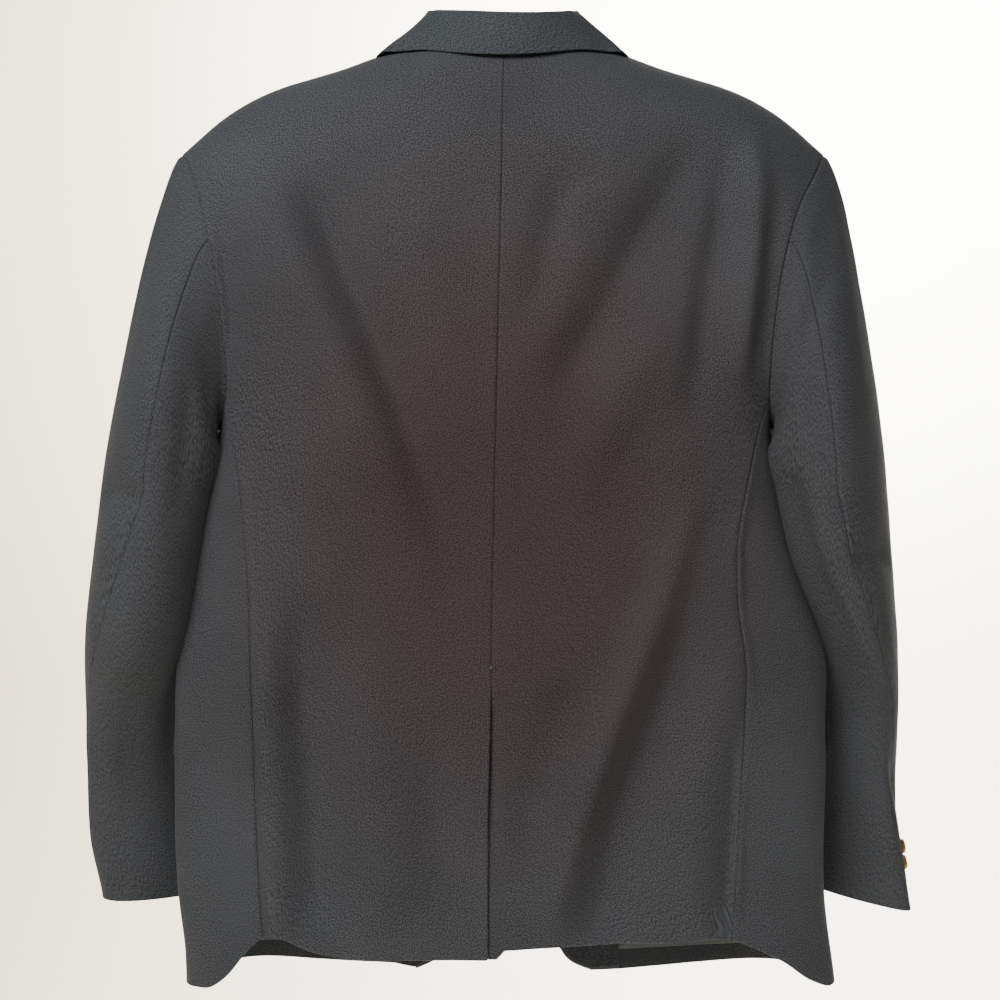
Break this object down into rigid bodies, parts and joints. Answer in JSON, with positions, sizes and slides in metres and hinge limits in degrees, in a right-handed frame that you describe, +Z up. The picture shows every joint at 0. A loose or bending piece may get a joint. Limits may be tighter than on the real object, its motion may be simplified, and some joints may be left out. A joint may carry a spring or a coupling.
{
  "type": "blazer",
  "caption": "Single-breasted wool blazer with notch lapels, flapped patch pockets, a centre back vent and brass buttons, filled out as worn and open at neck, hem and cuffs.",
  "frame": {"origin": "the middle of the neck, level with where the back collar's lower edge meets the shoulders", "axes": "+Z up, -Y the way the wearer faces, +X to the wearer's left"},
  "size_m": [0.7319, 0.1787, 0.8417],
  "materials": {
    "wool": "fine twill, matt with a faint sheen",
    "satin": "smooth satin",
    "brass": "satin, slightly aged"
  },
  "bodies": {
    "root": {"back_left": "wool", "back_right": "wool", "side_left": "wool", "side_right": "wool", "front_left": "wool", "front_right": "wool", "top_sleeve_left": "wool", "top_sleeve_right": "wool", "under_sleeve_left": "wool", "under_sleeve_right": "wool", "lapel_left": "wool", "lapel_right": "wool", "collar": "wool", "pocket_left": "wool", "pocket_right": "wool", "flap_left": "wool", "flap_right": "wool", "facing_left": "wool", "facing_right": "wool", "vent_underlap": "wool", "lining_left": "satin", "lining_right": "satin", "front_button_1": "brass", "front_button_2": "brass", "cuff_button_left_1": "brass", "cuff_button_left_2": "brass", "cuff_button_right_1": "brass", "cuff_button_right_2": "brass"}
  },
  "joints": []
}
